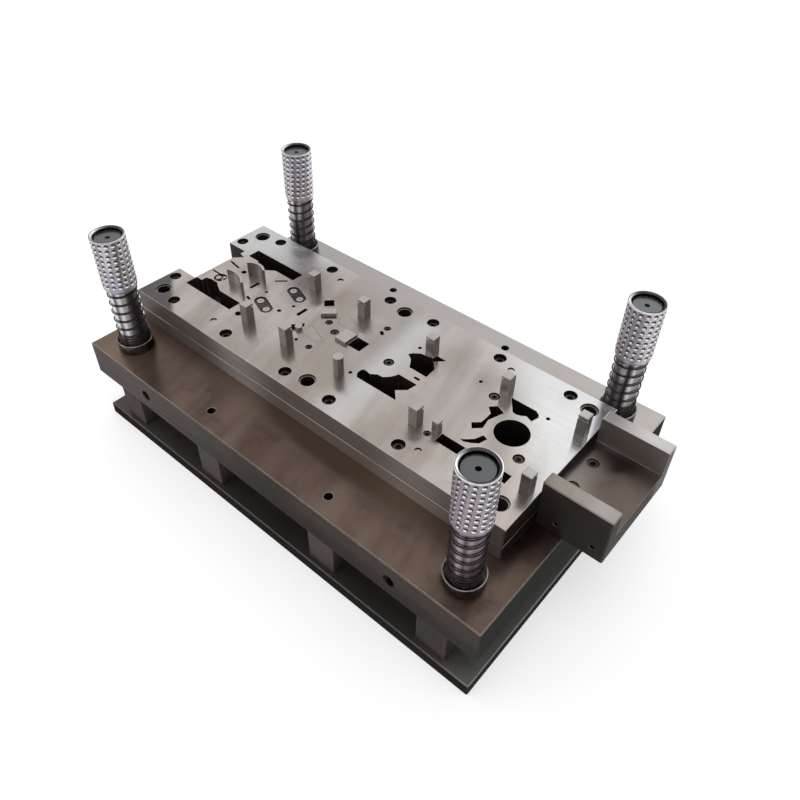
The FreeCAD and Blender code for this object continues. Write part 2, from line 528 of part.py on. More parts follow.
def make_v_formers(root):
    """The grooved block at the back and the round peg at the front of the bending station."""
    x, y, length, width, angle = V_FORMER_BACK
    top = DIE_TOP + V_FORMER_BACK_H
    turn = math.radians(angle)
    reach = width / 2
    groove = slot(x + reach * math.sin(turn), y - reach * math.cos(turn), length + 2 * CUT_PAST, 2 * V_GROOVE_D,
                  angle, top - V_GROOVE_DOWN - V_GROOVE_H, top - V_GROOVE_DOWN)
    save("v_former_back", slot(x, y, length, width, angle, root, top).cut(groove))
    x, y, r = V_FORMER_FRONT
    peg_top = DIE_TOP + V_FORMER_FRONT_H
    save("v_former_front", turned([(0, root), (r, root), (r, peg_top - LIFTER_TOP_CHAMFER),
                                   (r - LIFTER_TOP_CHAMFER, peg_top), (0, peg_top)], x, y))


def make_lifters():
    foot_top = BACKING_TOP - SEAT_GAP
    foot_low = foot_top - LIFTER_FOOT_T
    for name, x, y, stand, half, groove in LIFTERS:
        top = DIE_TOP + stand
        foot = 2 * lifter_foot_half(half)
        if groove == 0:
            bar = turned([(0, foot_low), (half, foot_low), (half, top - LIFTER_TOP_CHAMFER),
                          (half - LIFTER_TOP_CHAMFER, top), (0, top)], x, y)
        else:
            bar = softened(block(2 * half, 2 * half, x, y, foot_low, top), LIFTER_TOP_CHAMFER,
                           top - LIFTER_TOP_CHAMFER)
            edge = y + groove * half
            inner = edge - groove * GROOVE_D
            outer = edge + groove * CUT_PAST
            bar = bar.cut(box(x - half - CUT_PAST, x + half + CUT_PAST, min(inner, outer), max(inner, outer),
                              top - GROOVE_DOWN - GROOVE_H, top - GROOVE_DOWN))
        save("lifter_" + name, bar.fuse(block(foot, foot, x, y, foot_low, foot_top)).removeSplitter())
        wire = LIFTER_SPRING_WIRE
        stages = [(0, LIFTER_POCKET_FLOOR + wire / 2), (LIFTER_SPRING_TURNS, foot_low - SEAT_GAP - wire / 2)]
        spring = coil_spring(stages, lifter_foot_half(half) - wire, wire, LIFTER_SPRING_STEPS, 3)
        save("lifter_spring_" + name, spring.translated(V(x, y, 0)))


def make_posts():
    rim = SHOE_TOP + CAGE_TOP
    post_top = rim - POST_BELOW_RIM
    seat = SHOE_TOP + FLANGE_H - FLANGE_SEAT_D
    cage_low = rim - CAGE_L
    spring_r = (POST_R + SEAT_GAP / 2) / math.cos(math.pi / SPRING_STEPS) + SPRING_WIRE / 2
    post_profile = [(0, RISER_TOP + SEAT_GAP), (POST_R, RISER_TOP + SEAT_GAP), (POST_R, post_top - POST_CHAMFER),
                    (POST_R - POST_CHAMFER, post_top), (POST_CENTRE_R, post_top),
                    (0, post_top - POST_CENTRE_D)]
    flange_top = SHOE_TOP + FLANGE_H
    flange_profile = [(POST_R + FIT_GAP, SHOE_TOP), (FLANGE_R, SHOE_TOP), (FLANGE_R, flange_top - FLANGE_CHAMFER),
                      (FLANGE_R - FLANGE_CHAMFER, flange_top), (FLANGE_SEAT_R, flange_top), (FLANGE_SEAT_R, seat),
                      (POST_R + FIT_GAP, seat)]
    cage = make_cage(cage_low, rim)
    start = seat + SPRING_WIRE / 2
    close_end = start + SPRING_CLOSE_TURNS * SPRING_CLOSE_PITCH
    stages = [(0, start), (SPRING_CLOSE_TURNS, close_end),
              (SPRING_TURNS, close_end + SPRING_TURNS * SPRING_PITCH),
              (SPRING_END_TURNS, cage_low - SEAT_GAP - SPRING_WIRE / 2)]
    spring = coil_spring(stages, spring_r, SPRING_WIRE, SPRING_STEPS, 4)
    for corner, (x, y) in post_places().items():
        place = V(x, y, 0)
        save("guide_post_" + corner, turned(post_profile, x, y))
        save("ball_cage_" + corner, cage.translated(place))
        save("cage_spring_" + corner, spring.translated(place))
    save("post_flanges", *[turned(flange_profile, x, y) for x, y in post_places().values()])


def make_cage(low, rim):
    """A ball cage on the Z axis, with the part of each ball that stands out of its wall."""
    inner = POST_R + CAGE_BORE_GAP
    outer = inner + CAGE_WALL
    ring_low = rim - RING_H
    ring_r = outer + RING_OUT
    profile = [(inner, low), (outer - CAGE_TAPER, low), (outer, low + 2 * CAGE_TAPER),
               (outer, ring_low - GROOVE_BELOW_RING), (outer - GROOVE_IN, ring_low - GROOVE_BELOW_RING),
               (outer - GROOVE_IN, ring_low), (ring_r, ring_low), (ring_r, rim - RING_CHAMFER),
               (ring_r - RING_CHAMFER, rim), (inner, rim)]
    proud = POST_R + 2 * BALL_R - outer
    base_r = math.sqrt(BALL_R ** 2 - (BALL_R - proud - BALL_ROOT) ** 2)
    caps = []
    for row in range(BALL_ROWS):
        z = rim - CAGE_RIM - BALL_PITCH * row
        for column in range(BALL_COLUMNS):
            angle = math.radians(360.0 / BALL_COLUMNS * column + BALL_TWIST * row)
            out = V(math.cos(angle), math.sin(angle), 0)
            across = V(-out.y, out.x, 0)
            centre = V(0, 0, z) + out * (outer - BALL_ROOT)
            ring = []
            for k in range(BALL_SIDES):
                phi = 2 * math.pi * k / BALL_SIDES
                ring.append(centre + across * (base_r * math.sin(phi)) + UP * (base_r * math.cos(phi)))
            tip = centre + out * (proud + BALL_ROOT)
            faces = [list(range(BALL_SIDES))]
            faces += [[k, (k + 1) % BALL_SIDES, BALL_SIDES] for k in range(BALL_SIDES)]
            caps.append(polyhedron(ring + [tip], faces))
    return turned(profile, 0, 0).fuse(caps)


def make_exit_channel():
    x0, x1 = STACK_X1, STACK_X1 + CHANNEL_L
    top = SHOE_TOP + CHANNEL_H
    body = softened(box(x0, x1, CHANNEL_Y0, CHANNEL_Y1, SHOE_TOP, top), CHANNEL_CHAMFER)
    floor = SHOE_TOP + CHANNEL_FLOOR
    cuts = [box(x0 - CUT_PAST, x1 + CUT_PAST, CHANNEL_Y0 + CHANNEL_WALL, CHANNEL_Y1 - CHANNEL_WALL,
                floor, top + CUT_PAST)]
    for x, y in channel_screw_places():
        cuts.append(cylinder(x, y, M8["shank_r"] + SCREW_GAP, SHOE_TOP - CUT_PAST, top))
        cuts.append(cylinder(x, y, CHANNEL_BORE_R, floor - CHANNEL_BORE_D, top))
    for dx, dz in CHANNEL_SIDE_HOLES:
        mouth = V(x0 + dx, CHANNEL_Y0 - CUT_PAST, SHOE_TOP + dz)
        cuts.append(Part.makeCylinder(CHANNEL_SIDE_HOLE_R, CHANNEL_SIDE_HOLE_D + CUT_PAST, mouth, V(0, 1, 0)))
    save("exit_channel_block", body.cut(cuts))


os.makedirs("parts", exist_ok=True)
make_base_plate()
make_risers()
make_shoe()
make_backing_plate()
make_die_plate()
make_plate_fasteners()
make_forming_pieces()
make_lifters()
make_posts()
make_exit_channel()
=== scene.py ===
import json
import math

import bmesh
import bpy
from mathutils import Matrix, Vector


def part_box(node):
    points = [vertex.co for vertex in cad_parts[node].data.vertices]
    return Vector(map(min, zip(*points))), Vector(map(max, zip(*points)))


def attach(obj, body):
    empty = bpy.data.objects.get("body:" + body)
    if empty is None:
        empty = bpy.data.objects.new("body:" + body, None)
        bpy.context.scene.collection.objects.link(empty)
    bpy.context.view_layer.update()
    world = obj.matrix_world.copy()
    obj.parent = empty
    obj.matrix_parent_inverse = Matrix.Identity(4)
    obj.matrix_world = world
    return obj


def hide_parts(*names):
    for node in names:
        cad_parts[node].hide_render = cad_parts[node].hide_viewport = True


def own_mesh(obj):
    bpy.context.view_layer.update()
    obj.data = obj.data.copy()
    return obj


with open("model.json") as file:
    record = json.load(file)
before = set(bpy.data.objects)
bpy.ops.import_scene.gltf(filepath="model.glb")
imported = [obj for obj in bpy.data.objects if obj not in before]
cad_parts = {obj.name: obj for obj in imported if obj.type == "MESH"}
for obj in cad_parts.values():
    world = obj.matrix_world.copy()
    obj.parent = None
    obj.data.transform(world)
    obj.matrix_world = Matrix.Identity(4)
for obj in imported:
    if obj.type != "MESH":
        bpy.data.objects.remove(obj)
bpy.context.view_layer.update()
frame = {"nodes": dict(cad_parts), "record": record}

MM = 0.001
ROOT_BODY = "die_set"
CORNERS = ("front_left", "front_right", "back_left", "back_right")

# Directions of the object: right is from strip entry to exit, front is the operator's side
RIGHT, LEFT, BACK, FRONT, UP, DOWN = (1, 0, 0), (-1, 0, 0), (0, 1, 0), (0, -1, 0), (0, 0, 1), (0, 0, -1)
FRONT_RIGHT = (0.707, -0.707, 0)

# The camera, worked out from the photograph for an 800 x 800 picture
CAMERA_PLACE = Vector((455.1, -486.3, 721.1)) * MM
CAMERA_AZIMUTH, CAMERA_ELEVATION, CAMERA_ROLL = 39.848, 41.764, -1.249
CAMERA_LENS_PX, CAMERA_CENTRE_PX, PICTURE_PX = 751.0, (397.5, 372.6), 800.0
SENSOR_MM = 36.0
CLIP_START, CLIP_END = 0.05, 50

# Floor and world, in metres and as strengths
FLOOR_REACH, FLOOR_Z, FLOOR_WHITE, FLOOR_GLOW = 6.0, -0.0005, 0.86, 0.5
WORLD_LIGHT, WORLD_SEEN = 0.6, 1.0

# Lamps: name, place and target in metres, size in metres, power in watts
LAMPS = (("back_softbox", (-0.05, 2.1, 2.2), (0.2, 0, 0.15), 1.6, 4),
         ("top_softbox", (0.4, -0.5, 2.4), (0, 0, 0.1), 1.4, 5),
         ("left_softbox", (-2.4, -1.2, 1.4), (0, 0, 0.1), 1.2, 5))

# Ball cages, in millimetres; the turns about each post are in degrees
BALL_R, BALL_COLUMNS, BALL_ROWS, BALL_PITCH, BALL_TWIST, BALL_FIT = 2.0, 17, 9, 6.85, -1.4, 0.995
POST_R = 16.0
CAGE_R, CAGE_BORE_R, CAGE_FIRST_ROW = 19.45, 16.35, 5.0
CAGE_TAPER, CAGE_TAPER_ROUND, CAGE_BORE_CHAMFER = 1.4, 0.3, 0.3
CAGE_TURNS = {"front_left": 3.7, "front_right": 3.7, "back_left": 4.9, "back_right": 4.9}
CAGE_STEPS = 6 * BALL_COLUMNS
CELL_POINTS = 16

# Rings round a ball's pocket, as (radius, rise over the cage's skin); the first LIP_LEVELS are flat or raised
POCKET_LEVELS = ((2.6, 0.0), (2.4, 0.1), (1.6, -0.55), (1.6, -1.3))
LIP_LEVELS = 2

# The snap ring at a cage's rim, the groove below it, and the bore's shoulder as (radius past the bore, depth)
RING_H, RING_OUT, RING_FOOT_IN, RING_CREST_IN, RING_FACE_DEPTH, RING_ROUND = 1.9, 0.5, 0.35, 0.75, 0.7, 0.2
GROOVE_BELOW_RING, GROOVE_IN, GROOVE_ROUND = 0.9, 1.0, 0.1
BORE_SHOULDER = ((1.3, 0.15), (0.5, 0.5), (0.0, 1.2))

# Which of a sleeve's materials a face has
SKIN, POCKET, RING_SHOULDER, RING_RIM = 0, 1, 2, 3

# Seat rings at the posts' feet
FLANGE_R, FLANGE_SEAT_R, FLANGE_SEAT_D, FLANGE_CHAMFER = 21.6, 19.6, 5.0, 0.9
FLANGE_FOOT_CHAMFER, FLANGE_ROUND, FLANGE_BORE_GAP, FLANGE_STEPS = 0.4, 0.2, 0.1, 96

# Cage springs: the close turns at the foot, the open ones and the flat turn at the end
SPRING_WIRE, SPRING_MEAN_R, SPRING_FIT = 1.6, 17.2, 0.98
SPRING_CLOSE_TURNS, SPRING_CLOSE_PITCH = 4.0, 4.1
SPRING_TURNS, SPRING_PITCH = 5.0, 11.8
SPRING_END_TURNS = 0.75
SPRING_STEPS, SPRING_SIDES = 40, 12

# Meshes of turned strips are joined and keep their sharp edges
WELD_M, SHARP_DEGREES = 0.00001, 35


class NodeTree:
    """A node tree, built with short calls."""

    def __init__(self, tree):
        self.tree = tree
        tree.nodes.clear()

    def node(self, kind, **values):
        made = self.tree.nodes.new(kind)
        for key, value in values.items():
            setattr(made, key, value)
        return made

    def put(self, value, socket):
        """Link an output to a socket, or set the socket's own value."""
        if isinstance(value, bpy.types.NodeSocket):
            self.tree.links.new(value, socket)
        else:
            socket.default_value = value

    def math(self, operation, a, b):
        made = self.node("ShaderNodeMath", operation=operation)
        self.put(a, made.inputs[0])
        self.put(b, made.inputs[1])
        return made.outputs["Value"]

    def seen_by(self, *rays):
        """1 for the named kinds of ray, 0 for the others."""
        path = self.node("ShaderNodeLightPath")
        seen = path.outputs[rays[0]]
        for ray in rays[1:]:
            seen = self.math("MAXIMUM", seen, path.outputs[ray])
        return seen

    def close(self, output, surface):
        """End the tree with an output node."""
        self.put(surface, self.node(output).inputs["Surface"])


class Shader(NodeTree):
    """A node material."""

    def __init__(self, name):
        self.material = bpy.data.materials.new(name)
        self.material.use_nodes = True
        super().__init__(self.material.node_tree)
        self.place = self.node("ShaderNodeTexCoord").outputs["Object"]

    def noise(self, size, detail=4.0, rough=0.55, stretch=(1, 1, 1), turn=(0, 0, 0), shift=(0, 0, 0)):
        """Noise with features of about size metres, drawn out by stretch."""
        mapping = self.node("ShaderNodeMapping", vector_type="TEXTURE")
        self.put(self.place, mapping.inputs["Vector"])
        mapping.inputs["Location"].default_value = shift
        mapping.inputs["Rotation"].default_value = [math.radians(a) for a in turn]
        mapping.inputs["Scale"].default_value = stretch
        made = self.node("ShaderNodeTexNoise")
        self.put(mapping.outputs["Vector"], made.inputs["Vector"])
        made.inputs["Scale"].default_value = 1 / size
        made.inputs["Detail"].default_value = detail
        made.inputs["Roughness"].default_value = rough
        return made.outputs["Fac"]

    def rings(self):
        """Fine lines round an upright axis, as turning and drawing leave them."""
        return self.noise(0.0012, 2.0, 0.5, stretch=(60, 60, 1))

    def spread(self, value, low, high, to_low=0.0, to_high=1.0):
        """Map low..high smoothly to to_low..to_high."""
        made = self.node("ShaderNodeMapRange", interpolation_type="SMOOTHSTEP")
        self.put(value, made.inputs["Value"])
        numbers = {"From Min": low, "From Max": high, "To Min": to_low, "To Max": to_high}
        for socket, number in numbers.items():
            made.inputs[socket].default_value = number
        return made.outputs["Result"]

    def product(self, *values):
        """Several parts multiplied, which is where they overlap."""
        total = values[0]
        for value in values[1:]:
            total = self.math("MULTIPLY", total, value)
        return total

    def weighted(self, a, share, b):
        """A share of one value and the rest of another."""
        return self.math("ADD", self.product(a, share), self.product(b, 1 - share))

    def mix(self, factor, a, b):
        """Mix two colours."""
        made = self.node("ShaderNodeMix", data_type="RGBA", blend_type="MIX")
        self.put(factor, made.inputs["Factor"])
        self.put(a, made.inputs[6])
        self.put(b, made.inputs[7])
        return made.outputs[2]

    def dot(self, a, b):
        made = self.node("ShaderNodeVectorMath", operation="DOT_PRODUCT")
        self.put(a, made.inputs[0])
        self.put(b, made.inputs[1])
        return made.outputs["Value"]

    def normal(self):
        return self.node("ShaderNodeNewGeometry").outputs["Normal"]

    def normal_parts(self):
        """The X, Y and Z of the surface's normal."""
        made = self.node("ShaderNodeSeparateXYZ")
        self.put(self.normal(), made.inputs["Vector"])
        return made.outputs

    def facing_up(self, low=0.3, high=0.8):
        """1 on faces that look up, 0 on upright ones."""
        return self.spread(self.normal_parts()["Z"], low, high)

    def facing(self, direction, low, high):
        """0 to 1 on faces, by how far they look along a direction."""
        return self.spread(self.dot(self.normal(), direction), low, high)

    def heading(self, middle, half):
        """1 where an upright face looks in a direction, in degrees from +X, and 0 from half a width away."""
        parts = self.normal_parts()
        heading = self.math("ARCTAN2", parts["Y"], parts["X"])
        rise = self.spread(heading, math.radians(middle - half), math.radians(middle))
        fall = self.spread(heading, math.radians(middle + half), math.radians(middle))
        return self.product(rise, fall)

    def along(self, direction, low, high, most=1.0):
        """0 to most across the object, between two distances in metres along a direction."""
        return self.spread(self.dot(self.place, direction), low, high, 0.0, most)

    def streak(self, x, half, most=1.0):
        """A soft bright band across the object about x metres, leaning a little."""
        across = (1, 0.1, 0)
        return self.product(self.along(across, x - half, x, most), self.along(across, x + half, x))

    def rounded(self, radius):
        """A normal that rounds sharp edges off."""
        bevel = self.node("ShaderNodeBevel", samples=6)
        bevel.inputs["Radius"].default_value = radius
        return bevel.outputs["Normal"]

    def edges(self, radius):
        """1 on edges, which are painted bright as wear and a highlight, falling to 0 at about radius metres
        from them.
        """
        return self.spread(self.dot(self.rounded(radius), self.normal()), 0.995, 0.85)

    def bump(self, height, distance, strength, normal):
        made = self.node("ShaderNodeBump")
        made.inputs["Strength"].default_value = strength
        made.inputs["Distance"].default_value = distance
        self.put(height, made.inputs["Height"])
        self.put(normal, made.inputs["Normal"])
        return made.outputs["Normal"]

    def finish(self, **inputs):
        """Close the tree with a Principled shader."""
        made = self.node("ShaderNodeBsdfPrincipled")
        for name, value in inputs.items():
            self.put(value, made.inputs[name.replace("_", " ")])
        self.close("ShaderNodeOutputMaterial", made.outputs["BSDF"])
        return self.material


def colour(r, g, b):
    """A colour as it is seen on a screen, 0 to 255, made linear."""
    linear = [v / 255 / 12.92 if v <= 10 else ((v / 255 + 0.055) / 1.055) ** 2.4 for v in (r, g, b)]
    return (*linear, 1.0)


def ground_steel(name, light, dark, side_light, side_dark, oil, seed=0.0, rough=0.2, stains=0.4,
                 shine=None, shine_parts=(), shade=None, shade_parts=(), side_parts=(),
                 side_metallic=0.5, top_metallic=0.95, mirror_parts=(),
                 edge=0.6, edge_r=0.0006, edge_wear_and_highlight_above=-1.0):
    """Surface-ground steel: lines along X, soft bands across them, oil stains, milled sides painted darker as
    shade, bright edges.

    shine and shade are painted reflections, tones of what the plate mirrors, laid where their parts,
    functions of the shader, say.
    side_parts are pairs of such a function and the colour of painted light and shade that it lays on the
    upright faces. mirror_parts say how metallic the upright faces are in places. Edges are painted bright, as
    wear and a highlight, above a height in metres, the last argument."""
    s = Shader(name)
    up = s.facing_up()
    upright = s.math("SUBTRACT", 1.0, up)
    shift = (seed, seed * 0.7, seed * 0.3)
    bands = s.noise(0.03, 3.0, 0.5, stretch=(1.0, 9.0, 1.0), turn=(0, 0, 14), shift=shift)
    clouds = s.noise(0.13, 3.0, 0.5, shift=shift)
    lines = s.noise(0.0011, 2.0, 0.5, stretch=(80.0, 1.0, 1.0), shift=shift)
    smudge = s.noise(0.04, 5.0, 0.6, shift=shift)
    speck = s.noise(0.004, 4.0, 0.65, shift=shift)
    stain = s.product(s.spread(smudge, 0.52, 0.74), s.spread(speck, 0.3, 0.7, 0.6, 1.0), stains)
    top = s.mix(s.spread(s.weighted(bands, 0.5, clouds), 0.38, 0.62), dark, light)
    top = s.mix(stain, top, oil)
    # Painted reflections and painted shade laid on the top
    for part in shine_parts:
        top = s.mix(part(s), top, shine)
    for part in shade_parts:
        top = s.mix(part(s), top, shade)
    top = s.mix(s.spread(lines, 0.35, 0.75, 0.0, 0.06), top, dark)
    # The upright faces are painted darker than the top, as shade; side_parts lay painted light and shade on
    # them
    side = s.mix(s.spread(clouds, 0.4, 0.6), side_dark, side_light)
    for part, tone in side_parts:
        side = s.mix(part(s), side, tone)
    side = s.mix(s.spread(lines, 0.4, 0.75, 0.0, 0.2), side, side_dark)
    body = s.mix(up, side, top)
    # Edges painted bright as wear and a painted highlight, above a given height
    high = s.along(UP, edge_wear_and_highlight_above - 0.001, edge_wear_and_highlight_above)
    edge_wear_and_highlight = s.mix(s.product(s.edges(edge_r), high, edge), body, colour(206, 202, 200))
    metallic = s.spread(up, 0.0, 1.0, side_metallic, top_metallic)
    for part in mirror_parts:
        metallic = s.math("MAXIMUM", metallic, s.product(part(s), upright))
    roughness = s.spread(lines, 0.3, 0.7, rough, rough + 0.05)
    roughness = s.math("ADD", roughness, s.spread(smudge, 0.45, 0.7, 0.0, 0.05))
    roughness = s.math("ADD", roughness, s.product(upright, 0.2))
    normal = s.bump(lines, 0.000001, 0.5, s.rounded(0.0004))
    # Specular tint dims what the upright faces reflect: a painted shade on the sides
    side_reflection_shade = s.mix(up, (0.2, 0.19, 0.18, 1.0), (1.0, 1.0, 1.0, 1.0))
    return s.finish(Base_Color=edge_wear_and_highlight, Metallic=metallic, Roughness=roughness, Normal=normal, Anisotropic=0.87,
                    Tangent=(0.0, 1.0, 0.0), Specular_Tint=side_reflection_shade)


def plate_sides():
    """Painted light and shade on the plates' sides: outer sides lighter than the shaded walls of openings,
    two soft bright reflections, a dark right-hand end.
    """
    def end(s):
        return s.along(RIGHT, 0.2665, 0.2673)

    def outside(s):
        return s.math("MAXIMUM", s.along(FRONT, 0.1035, 0.1043), end(s))

    def painted_reflection_wave(x, most):
        return lambda s: s.product(outside(s), s.streak(x, 0.07, most))

    return [(outside, colour(138, 130, 124)),
            (painted_reflection_wave(-0.115, 1.0), colour(192, 189, 188)),
            (painted_reflection_wave(0.15, 0.7), colour(188, 182, 178)),
            (end, colour(38, 32, 30))]


def die_plate_steel():
    """Painted reflections: bright where it mirrors the window, in a wedge, strips and the far corner; painted
    shade at the near left.
    """
    shine_parts = [lambda s: s.along((0.707, 0.707, 0), 0.125, 0.195),
                   lambda s: s.along((-0.555, 0.832, 0), 0.14, 0.2),
                   lambda s: s.along(BACK, 0.05, 0.105, 0.22),
                   lambda s: s.product(s.along(BACK, 0.03, 0.09), s.streak(-0.172, 0.04)),
                   lambda s: s.product(s.along(FRONT, -0.1, -0.075), s.streak(0.036, 0.034, 0.8))]
    shade_parts = [lambda s: s.along((-0.6, -0.8, 0), 0.213, 0.221)]
    return ground_steel("ground_steel", colour(186, 179, 173), colour(157, 149, 142), colour(70, 61, 55),
                        colour(50, 43, 38), colour(136, 124, 114), rough=0.165,
                        shine=colour(196, 196, 196), shine_parts=shine_parts,
                        shade=colour(86, 86, 87), shade_parts=shade_parts,
                        side_parts=plate_sides(), edge=0.85, edge_r=0.0008)


def backing_plate_steel():
    return ground_steel("backing_steel", colour(150, 145, 142), colour(110, 104, 100), colour(70, 61, 55),
                        colour(50, 43, 38), colour(90, 80, 70), seed=3.1,
                        side_parts=plate_sides(), edge=0.85, edge_r=0.0008)


def shoe_steel():
    """Brown and oily, paler at the left, with painted reflections: paler along the stack, which it mirrors,
    and on the back strip.
    """
    def end(s):
        return s.facing(RIGHT, 0.5, 0.9)

    # A painted reflection of the plates along the stack, and a paler left end
    shade_parts = [lambda s: s.product(s.along(BACK, -0.14, -0.112), s.along(FRONT, 0.08, 0.1),
                                       s.along(RIGHT, -0.25, 0.08), s.along(LEFT, -0.24, -0.12)),
                   lambda s: s.product(s.along(LEFT, 0.12, 0.27, 0.35), s.along(FRONT, 0.08, 0.1))]
    # On the sides: darker towards the bottom, lighter towards the left, and a dark painted shade on the
    # right-hand end
    side_parts = [(lambda s: s.along(DOWN, -0.105, -0.08), colour(48, 41, 37)),
                  (lambda s: s.along(LEFT, -0.1, 0.25, 0.8), colour(104, 98, 95)),
                  (end, colour(46, 47, 43))]
    return ground_steel("shoe_steel", colour(110, 95, 86), colour(88, 73, 65), colour(74, 65, 60),
                        colour(58, 51, 47), colour(66, 48, 38), seed=5.7, rough=0.29, stains=0.6,
                        shine=colour(170, 165, 162), shine_parts=[lambda s: s.along(BACK, 0.06, 0.14)],
                        shade=colour(146, 126, 112), shade_parts=shade_parts, side_parts=side_parts,
                        mirror_parts=[lambda s: s.product(end(s), 0.74)],
                        edge=0.9, edge_r=0.0009, edge_wear_and_highlight_above=0.1165)


def channel_steel():
    """The exit block: painted reflections bright on the tops of its walls, a painted shade, darker and
    browner, at the far end of its floor, and painted light on its back wall.
    """
    shine_parts = [lambda s: s.along(BACK, 0.056, 0.068),
                   lambda s: s.product(s.along(FRONT, 0.027, 0.0295), s.along(RIGHT, 0.28, 0.335, 0.4))]
    shade_parts = [lambda s: s.product(s.along(RIGHT, 0.285, 0.31, 0.6), s.along(DOWN, -0.16, -0.15))]
    return ground_steel("channel_steel", colour(137, 131, 124), colour(115, 108, 101), colour(62, 55, 51),
                        colour(48, 43, 40), colour(90, 79, 70), seed=7.2, rough=0.28,
                        shine=colour(180, 178, 176), shine_parts=shine_parts,
                        shade=colour(62, 48, 38), shade_parts=shade_parts,
                        side_parts=[(lambda s: s.along(BACK, 0.05, 0.06), colour(120, 110, 105))],
                        side_metallic=0.3)


def base_steel():
    """Base plate and risers: the plate's sides painted dark as shade, its top matt, with painted light at the
    right-hand end and painted shade along the front.
    """
    def plate_side(most):
        return lambda s: s.along(DOWN, -0.0172, -0.0165, most)

    return ground_steel("dark_steel", colour(120, 110, 106), colour(98, 90, 86), colour(92, 84, 81),
                        colour(70, 63, 60), colour(84, 72, 64), seed=8.3, rough=0.32,
                        shine=colour(136, 138, 134), shine_parts=[lambda s: s.along(RIGHT, 0.25, 0.3, 0.8)],
                        shade=colour(62, 58, 56),
                        shade_parts=[lambda s: s.product(s.along(FRONT, 0.13, 0.165, 0.8),
                                                         s.along(LEFT, -0.3, -0.22))],
                        side_parts=[(plate_side(1.0), colour(34, 33, 32))],
                        top_metallic=0.35, mirror_parts=[plate_side(0.76)])


def plain_metal(name, light, dark, roughness, metallic=1.0, edge=None, edge_r=0.0004):
    """Turned or drawn metal with slight tone changes and, if an edge colour is given, edges painted bright as
    wear and a highlight.
    """
    s = Shader(name)
    grain = 0.004
    tone = s.noise(grain, 4.0, 0.6)
    broad = s.noise(grain * 9, 3.0, 0.5)
    body = s.mix(s.spread(s.weighted(tone, 0.4, broad), 0.38, 0.62), dark, light)
    if edge:
        body = s.mix(s.product(s.edges(edge_r), 0.7), body, edge)
    rough = s.spread(tone, 0.3, 0.7, roughness * 0.85, roughness * 1.2)
    return s.finish(Base_Color=body, Metallic=metallic, Roughness=rough, Normal=s.rounded(edge_r))


def tool_steel(name, front, side, top):
    """Ground and polished standing pieces: pale in front, darker near the exit, with painted shade on faces
    to the right and painted light on their tops.
    """
    s = Shader(name)
    tone = s.noise(0.012, 3.0, 0.5, stretch=(1, 1, 6))
    body = s.mix(s.spread(tone, 0.38, 0.62), front, s.mix(0.25, front, side))
    body = s.mix(s.along(RIGHT, 0.16, 0.24, 0.85), body, colour(86, 79, 76))
    body = s.mix(s.facing(RIGHT, 0.3, 0.8), body, side)
    body = s.mix(s.facing_up(), body, top)
    # Edges painted bright as wear and a painted highlight
    body = s.mix(s.product(s.edges(0.0004), 0.6), body, colour(218, 216, 214))
    return s.finish(Base_Color=body, Metallic=0.5, Roughness=0.26, Normal=s.rounded(0.0004))


def post_chrome(name):
    """Hard chrome with painted reflections of two upright bright windows and a dark, faintly violet gap
    between them.
    """
    s = Shader(name)
    body = s.mix(s.spread(s.rings(), 0.35, 0.7, 0.0, 0.3), colour(146, 140, 143), colour(112, 105, 108))
    # Painted reflections, by the way the surface faces
    bands = ((-86, 17, (228, 224, 226)), (-50, 14, (206, 201, 204)), (-68, 7, (96, 72, 83)),
             (-120, 16, (176, 170, 173)), (10, 45, (74, 67, 70)))
    for middle, half, shade in bands:
        body = s.mix(s.heading(middle, half), body, colour(*shade))
    # Painted shade: darker on the post at the front right, dark on faces that slope upward, and a dark
    # painted reflection on the top
    body = s.mix(s.along(FRONT_RIGHT, 0.14, 0.26, 0.62), body, colour(70, 54, 60))
    body = s.mix(s.facing_up(0.1, 0.3), body, colour(34, 32, 33))
    body = s.mix(s.facing_up(0.85, 0.95), body, colour(98, 100, 102))
    return s.finish(Base_Color=body, Metallic=0.75, Roughness=0.24, Normal=s.rounded(0.0002))


def cage_metal(name):
    """Satin light alloy with a lilac tinge and random upright bands; painted shade on the cage nearest to the
    camera, and painted shade and a painted highlight in bands by the way the surface faces.
    """
    s = Shader(name)
    upright = s.noise(0.011, 2.0, 0.5, stretch=(1, 1, 14))
    tinge = s.noise(0.02, 2.0, 0.5, stretch=(1, 1, 2), shift=(1.3, 0.4, 0.2))
    body = s.mix(s.spread(upright, 0.4, 0.62), colour(214, 210, 215), colour(166, 157, 166))
    body = s.mix(s.spread(tinge, 0.52, 0.66, 0.0, 0.7), body, colour(176, 172, 198))
    body = s.mix(s.spread(s.rings(), 0.35, 0.7, 0.0, 0.15), body, colour(150, 140, 150))
    # Painted shade on the cage nearest to the camera
    body = s.mix(s.along(FRONT_RIGHT, 0.1, 0.26, 0.7), body, colour(146, 133, 145))
    # Painted shade and a painted highlight in upright bands, by the way the surface faces
    painted_shade_tone, bright = (122, 110, 120), (238, 236, 240)
    bands = ((-104, 22, 0.55, painted_shade_tone), (-8, 26, 0.6, painted_shade_tone), (-66, 12, 0.3, painted_shade_tone), (24, 16, 0.6, bright))
    for middle, half, strength, shade in bands:
        body = s.mix(s.product(s.heading(middle, half), strength), body, colour(*shade))
    return s.finish(Base_Color=body, Metallic=0.45, Roughness=0.33)


def wire_metal(name):
    """Oiled dark spring wire."""
    s = Shader(name)
    tone = s.noise(0.002, 4.0, 0.6)
    body = s.mix(s.spread(tone, 0.35, 0.65), colour(34, 30, 30), colour(66, 60, 60))
    return s.finish(Base_Color=body, Metallic=1.0, Roughness=s.spread(tone, 0.3, 0.7, 0.28, 0.42))


